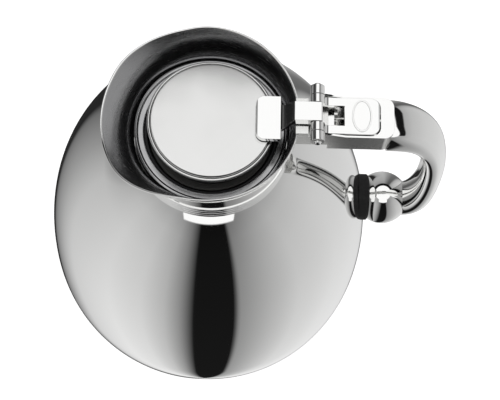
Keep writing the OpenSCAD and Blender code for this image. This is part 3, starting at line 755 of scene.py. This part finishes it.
class CARAFE_OT_collar(bpy.types.Operator):
    """Makes the flared pouring collar with its beak and rolled rim"""

    bl_idname = "carafe.collar"
    bl_label = "Pouring collar"

    steps = 32  # rings up the wall

    def section(self, size, a):
        """The wall's outline at one angle from the handle: up the inside, over the rim, down."""
        from_handle = min(a, math.tau - a)
        foot = COLLAR[0].z
        radius = (size.rim_radius + size.rim_spread * (1 - math.cos(a)) / 2
                  + size.beak_reach * smooth_step((from_handle - size.beak_start) / size.beak_turn)
                  - size.wall)
        fall = size.handle_fall if math.cos(a) > 0 else size.beak_fall
        top = foot + size.height - fall * math.cos(a) ** 2
        spread, rise = radius - size.inside, top - foot
        # upright for nearly half its height, then flared
        wall = [(size.inside, foot), (size.inside + 0.06 * spread, foot + 0.45 * rise),
                (size.inside + 0.5 * spread, top - 0.3 * rise), (radius, top)]
        inner, outer = [], []
        for i in range(self.steps + 1):
            at, way = bezier(wall, i / self.steps), bezier_slope(wall, i / self.steps)
            inner.append((at.x, at.y))
            outer.append((at.x + way.y * size.wall, at.y - way.x * size.wall))
        outer[0] = (size.inside + size.wall, foot)
        way = bezier_slope(wall, 1.0)
        side = Vector((way.y, -way.x))
        middle = (Vector(inner[-1]) + Vector(outer[-1])) / 2
        # the rolled rim is an oval arc, a little wider than the wall
        rim = [middle - side * math.cos(b) * size.wall * 0.56 + way * math.sin(b) * size.wall * 0.9
               for b in (math.radians(15 + 15 * i) for i in range(11))]
        return inner + [(p.x, p.y) for p in rim] + outer[::-1]

    def execute(self, context):
        size = context.scene.carafe_collar
        rows, sides = [], 288
        for i in range(sides):
            a = math.tau * i / sides
            rows.append([(r * math.cos(a), r * math.sin(a), z) for r, z in self.section(size, a)])
        points = len(rows[0])
        made = piece("collar", lofted(rows), polished_steel(), "polished_steel", "pouring_collar")
        # the wall's inner faces get the darker inside material, painted shade for the funnel's inside
        made.data.materials.append(brushed_inside_painted_shade())
        for face in made.data.polygons:
            if face.index % points < self.steps:
                face.material_index = 1
        return {"FINISHED"}


class CARAFE_OT_grip(bpy.types.Operator):
    """Makes the handle's grip, its end ball and the insulating ring"""

    bl_idname = "carafe.grip"
    bl_label = "Grip, ball and ring"

    def grip_rows(self, size):
        """Rings of the grip along its two curves, from the housing to the ball."""
        end_x = BALL[1].x
        bend = (size.bend_x, size.bend_z)
        top = [(size.start_x, size.start_z), (size.start_x + size.run, size.start_z),
               (size.bend_x, size.bend_z + size.bend_up), bend]
        low = [bend, (size.bend_x, size.bend_z - size.bend_down),
               (end_x + size.ball_run, size.ball_height), (end_x, size.ball_height)]
        rows, steps, sides = [], 72, 72
        for i in range(2 * steps + 1):
            curve, t = (top, i / steps) if i <= steps else (low, i / steps - 1)
            at, way = bezier(curve, t), bezier_slope(curve, t)
            if at.x < size.root_x and i < steps:
                continue
            u = i / (2 * steps)
            half, v = (0, 2 * u) if u < 0.5 else (1, 2 * u - 1)
            w, d = (s[half] + (s[half + 1] - s[half]) * smooth_step(v)
                    for s in (size.half_width, size.half_depth))
            near = 1 - min(1, (at.x - size.root_x) / size.blend) if i < steps else 0
            narrower = 1 - size.drawn_in * near ** 2
            power = size.roundness - size.squareness * smooth_step(near)
            ring = []
            for j in range(sides):
                c, s = math.cos(math.tau * j / sides), math.sin(math.tau * j / sides)
                y = narrower * w * math.copysign(abs(c) ** power, c)
                out = d * math.copysign(abs(s) ** power, s)
                ring.append((at.x - way.y * out, y, at.y + way.x * out))
            rows.append(ring)
        return rows

    def execute(self, context):
        size = context.scene.carafe_grip
        piece("grip", lofted(self.grip_rows(size), capped=True), polished_steel(), "polished_steel",
              "handle_grip")
        # the ball's outline is (radius, x), from its flat face at the ring to the grip's end
        flat, end = BALL[0].x, BALL[1].x
        centre = flat + size.ball_inset
        start = math.degrees(math.acos((flat - centre) / size.ball_radius))
        stop = math.degrees(math.acos((end - centre) / size.ball_radius))
        ball = [(0, flat)] + [(size.ball_radius * math.sin(math.radians(a)),
                               centre + size.ball_radius * math.cos(math.radians(a)))
                              for a in (start + (stop - start) * i / 48 for i in range(49))] + [(0, end)]
        piece("ball", turned(ball, 96, size.ball_height), polished_steel(), "polished_steel",
              "handle_ball")
        edge, deep = size.ring_edge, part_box("insulating_ring")[0].x
        ring = ([(size.ring_radius / 2, deep), (size.ring_radius - edge, deep)]
                + arc((size.ring_radius - edge, deep + edge), edge, -90, 0, 6)
                + arc((size.ring_radius - edge, flat - edge), edge, 0, 90, 6)
                + [(size.ring_radius / 2, flat)])
        piece("ring", turned(ring, 96, size.ball_height), black_rubber(), "black_rubber",
              "insulating_ring")
        return {"FINISHED"}


class CARAFE_OT_lid(bpy.types.Operator):
    """Makes the lid's crowned face with its groove and bead"""

    bl_idname = "carafe.lid"
    bl_label = "Lid"

    def execute(self, context):
        size = context.scene.carafe_lid
        radius = LID[1].x
        edge_z = LID[0].z + size.skirt
        face_r, soft = radius - size.edge, size.soft
        groove, inside, under = radius - size.groove, radius - size.rim_wall, edge_z - size.face_wall

        def crown(r):
            return edge_z + size.crown * (1 - (r / face_r) ** 2) - soft

        rings = 40
        outline = ([(face_r * i / rings, crown(face_r * i / rings)) for i in range(rings)]
                   + arc((face_r - soft, crown(face_r) - soft), soft, 80, 0, 6)
                   + [(groove, edge_z - size.groove_top), (groove, edge_z - size.groove_floor)]
                   + arc((radius - size.bead, edge_z - size.bead_drop), size.bead, 150, -30, 14)
                   + [(radius - soft, LID[0].z), (inside, LID[0].z), (inside, under), (0, under)])
        made = piece("lid", turned(outline, 192), lid_steel(), "satin_steel", "lid_cap")
        # painted shade: the groove's walls get the black plastic, a dark lining that stands for the shade in
        # the groove
        made.data.materials.append(black_plastic())
        near, floor = 0.2 * MM, edge_z - size.groove_floor - 0.1 * MM
        for side in made.data.polygons:
            away = math.hypot(side.center.x, side.center.y)
            groove_in_shade = groove - near < away < face_r + near and side.center.z > floor
            if groove_in_shade and side.normal.z < 0.5:
                side.material_index = 1
        return {"FINISHED"}


class CARAFE_OT_lever(bpy.types.Operator):
    """Rounds the edges of the housing, the lever, the thumb plate and the small steel pieces"""

    bl_idname = "carafe.lever"
    bl_label = "Housing, lever and plate"

    def execute(self, context):
        width = context.scene.carafe_lid.soft_edge
        steel = polished_steel()
        housing = softened("handle_housing", "housing", steel, width)
        housing.data.materials.append(satin_steel())
        for face in housing.data.polygons:
            # its sides and underside are only brushed
            if abs(face.normal.y) > 0.95 or face.normal.z < -0.95:
                face.material_index = 1
        # each piece's rounding is a share of the common one
        for node, name, finish, rounding in (
                ("thumb_plate", "plate", steel, 1.0), ("lid_lever", "lever", steel, 1.8),
                ("collar_bracket", "bracket", satin_steel(), 1.0), ("badge", "plaque", steel, 0.25),
                # the seat ring inside the collar gets the same painted shade
                ("seat_ring", "seat", brushed_inside_painted_shade(), 0.3), ("base_ring", "base", steel, 1.0),
                ("pin_caps", "caps", steel, 0.5)):
            softened(node, name, finish, width * rounding)
        return {"FINISHED"}


class CARAFE_OT_spring(bpy.types.Operator):
    """Winds the coil spring under the thumb plate at its rest length; it is not shortened as the plate sinks
    """

    bl_idname = "carafe.spring"
    bl_label = "Return spring"

    def execute(self, context):
        low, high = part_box("return_spring")
        wire = 0.8 * MM
        obj = grown("coil", spring_tree(), {
            "Radius": (high.y - low.y - wire) / 2, "Wire": wire, "Height": high.z - low.z - wire,
            "Place": ((low.x + high.x) / 2, 0, low.z + wire / 2), "Finish": spring_wire()})
        tidy(obj.data, spring_wire())
        stand_in(obj, "spring_steel", "return_spring")
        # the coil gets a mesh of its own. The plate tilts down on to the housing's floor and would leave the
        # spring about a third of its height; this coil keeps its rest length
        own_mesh(obj)
        return {"FINISHED"}


class CARAFE_OT_inner(bpy.types.Operator):
    """Gives the pieces that keep their CAD shape their materials"""

    bl_idname = "carafe.inner"
    bl_label = "Inner pieces"

    def execute(self, context):
        by_finish = {
            polished_steel(): ["hinge_pin"],
            satin_steel(): ["housing_screws", "handle_screw", "screw_washer", "lid_screw"],
            black_plastic(): ["base_cap", "throat_insert", "lid_core", "seal_retainer"],
            black_rubber(): ["foot_pad", "flask_cushion"],
            # the seals get the silicone darkened as painted shade
            silicone_painted_shade(): ["flask_seal", "lid_seal"],
            silvered_glass(): ["flask_outer_wall", "flask_inner_wall"],
        }
        for finish, nodes in by_finish.items():
            for node in nodes:
                mesh = frame["nodes"][node].data
                mesh.materials.clear()
                mesh.materials.append(finish)
        return {"FINISHED"}


# The tent: how bright its panels are round the horizon, in degrees from the front, + to the right.
# A dark slot for the camera is at the front, and there are dark gaps behind on both sides.
PANELS = [(-180, 0.5), (-169, 0.4), (-163, 0.02), (-140, 0.02), (-134, 0.16), (-115, 0.34),
          (-95, 0.58), (-60, 0.73), (-38, 0.67), (-24, 0.50), (-15, 0.28), (-7, 0.008), (16, 0.008),
          (19, 0.28), (38, 0.47), (55, 0.62), (85, 0.70), (110, 0.70), (135, 0.66), (142, 0.50),
          (148, 0.14), (156, 0.16), (166, 0.34), (174, 0.5), (180, 0.5)]
# how the panels fade with height, in degrees above the horizon
FADE = [(-90, 1.25), (-70, 1.15), (-30, 1.0), (0, 0.92), (30, 0.78), (48, 0.6), (90, 0.6)]
# the white panel overhead, and the dark gap below it
OVERHEAD = [(-90, 0), (56, 0), (57, 1), (90, 1)]
GAP = [(-90, 1), (44, 1), (46, 0.02), (90, 0.02)]
OVERHEAD_LIGHT = 1.1
# in degrees: how far the overhead panel comes down at the front, how far the gap rises on the front's
# flanks, and how far the dark edge behind on the left leans over
OVERHEAD_DROP, GAP_RISE, LEAN = 10.5, 14, 48


class CARAFE_OT_stage(bpy.types.Operator):
    """Sets up the pale floor, the white tent round the object and the camera"""

    bl_idname = "carafe.stage"
    bl_label = "Stage"

    def ramp(self, tree, degrees, stops, low, high):
        """A value that follows stops of (degrees, value)."""
        node = add(tree, "ShaderNodeValToRGB", {"Fac": mapped(tree, degrees, low, high)})
        bar = node.color_ramp.elements
        while len(bar) > 1:
            bar.remove(bar[-1])
        for i, (angle, value) in enumerate(stops):
            place = (angle - low) / (high - low)
            stop = bar[0] if i == 0 else bar.new(place)
            stop.position = place
            stop.color = (value, value, value, 1)
        return node.outputs["Color"]

    def tent(self, studio):
        """A world whose brightness depends on the direction: panels, gaps and the light overhead."""
        world = bpy.data.worlds.new("white_tent")
        world.use_nodes = True
        tree = world.node_tree
        tree.nodes.clear()
        look = add(tree, "ShaderNodeTexCoord")
        way = add(tree, "ShaderNodeVectorMath", {0: look.outputs["Generated"]}, operation="NORMALIZE")
        axis = add(tree, "ShaderNodeSeparateXYZ", {0: way.outputs[0]})
        round_ = calculate(tree, "ARCTAN2", axis.outputs["X"],
                           calculate(tree, "MULTIPLY", axis.outputs["Y"], -1.0))
        azimuth = calculate(tree, "DEGREES", round_)
        height = calculate(tree, "DEGREES", calculate(tree, "ARCSINE", axis.outputs["Z"]))
        ahead = calculate(tree, "COSINE", round_)
        # at the front the overhead panel comes down, with no gap under it
        front = mapped(tree, ahead, 0.84, 0.90, to_high=OVERHEAD_DROP)
        # on the front's flanks the gap stays closed as far up as the shell can mirror it
        flank = mapped(tree, ahead, 0.15, 0.30, to_high=GAP_RISE)
        # behind on the left the panels' dark edge leans over the object as it rises
        left = mapped(tree, azimuth, -70, -95)
        lean = calculate(tree, "MULTIPLY", left, mapped(tree, height, 0, 40, to_high=LEAN))
        sides = self.ramp(tree, calculate(tree, "SUBTRACT", azimuth, lean), PANELS, -180, 180)
        fade = self.ramp(tree, height, FADE, -90, 90)
        gap = self.ramp(tree, calculate(tree, "SUBTRACT", height, flank), GAP, -90, 90)
        above = self.ramp(tree, calculate(tree, "ADD", height, front), OVERHEAD, -90, 90)
        lit = calculate(tree, "MULTIPLY", calculate(tree, "MULTIPLY", sides, fade), gap)
        panel = calculate(tree, "MULTIPLY", lit, studio.tent)
        total = add(tree, "ShaderNodeMix", {0: above, 2: panel, 3: OVERHEAD_LIGHT}, data_type="FLOAT")
        light = add(tree, "ShaderNodeBackground", {"Color": total.outputs[0], "Strength": 1.0})
        add(tree, "ShaderNodeOutputWorld", {"Surface": light.outputs[0]})
        bpy.context.scene.world = world

    def floor(self):
        """A wide white sheet on the table, evenly lit from below as on a light table."""
        mesh = bpy.data.meshes.new("floor")
        mesh.from_pydata([(x, y, 0) for x, y in ((-3, -3), (3, -3), (3, 3), (-3, 3))], [], [(0, 1, 2, 3)])
        made = material("white_acrylic_sheet", lambda tree, finish: {
            "Base Color": linear("#f2f2f2"), "Roughness": 0.9, "Specular IOR Level": 0.0,
            "Emission Color": linear("#ffffff"), "Emission Strength": 0.75})
        mesh.materials.append(made)
        floor = bpy.data.objects.new("floor", mesh)
        bpy.context.scene.collection.objects.link(floor)
        floor.visible_glossy = False

    def camera(self, studio):
        """The camera, above the front and a little turned."""
        e, y, r = studio.elevation, studio.yaw, studio.roll
        back = Vector((0, -math.cos(e), math.sin(e)))
        up = Vector((0, math.sin(e), math.cos(e)))
        right = Vector((1, 0, 0))
        ahead = -back * math.cos(y) + right * math.sin(y)
        side = right * math.cos(y) + back * math.sin(y)
        across = side * math.cos(r) + up * math.sin(r)
        above = up * math.cos(r) - side * math.sin(r)
        data = bpy.data.cameras.new("camera")
        data.lens = studio.lens
        data.sensor_width = 36
        data.clip_start = 0.01
        camera = bpy.data.objects.new("camera", data)
        turn = Matrix((across, above, -ahead)).transposed().to_4x4()
        camera.matrix_world = Matrix.Translation(Vector((0, 0, studio.aim_height))
                                                 + back * studio.distance) @ turn
        bpy.context.scene.collection.objects.link(camera)
        bpy.context.scene.camera = camera

    def execute(self, context):
        studio = context.scene.carafe_studio
        self.tent(studio)
        self.floor()
        self.camera(studio)
        context.scene.view_settings.view_transform = "Standard"
        return {"FINISHED"}


STEPS = [CARAFE_OT_shell, CARAFE_OT_neck_ring, CARAFE_OT_collar, CARAFE_OT_grip, CARAFE_OT_lid,
         CARAFE_OT_lever, CARAFE_OT_spring, CARAFE_OT_inner, CARAFE_OT_stage]


class CARAFE_PT_panel(bpy.types.Panel):
    """Lists the sizes and the steps that make the carafe"""

    bl_idname = "CARAFE_PT_panel"
    bl_label = "Carafe"
    bl_space_type = "VIEW_3D"
    bl_region_type = "UI"
    bl_category = "Carafe"

    def draw(self, context):
        for name, group in GROUPS.items():
            box = self.layout.box()
            box.label(text=group.__doc__)
            for key in group.__annotations__:
                box.prop(getattr(context.scene, name), key)
        for step in STEPS:
            self.layout.operator(step.bl_idname)


CLASSES = [*GROUPS.values(), *STEPS, CARAFE_PT_panel]


def register():
    for cls in CLASSES:
        bpy.utils.register_class(cls)
    for name, group in GROUPS.items():
        setattr(bpy.types.Scene, name, PointerProperty(type=group))


def unregister():
    for name in GROUPS:
        delattr(bpy.types.Scene, name)
    for cls in reversed(CLASSES):
        bpy.utils.unregister_class(cls)


def main():
    """Makes the whole carafe and its stage."""
    register()
    for step in STEPS:
        group, name = step.bl_idname.split(".")
        getattr(getattr(bpy.ops, group), name)()


if __name__ == "__main__":
    main()
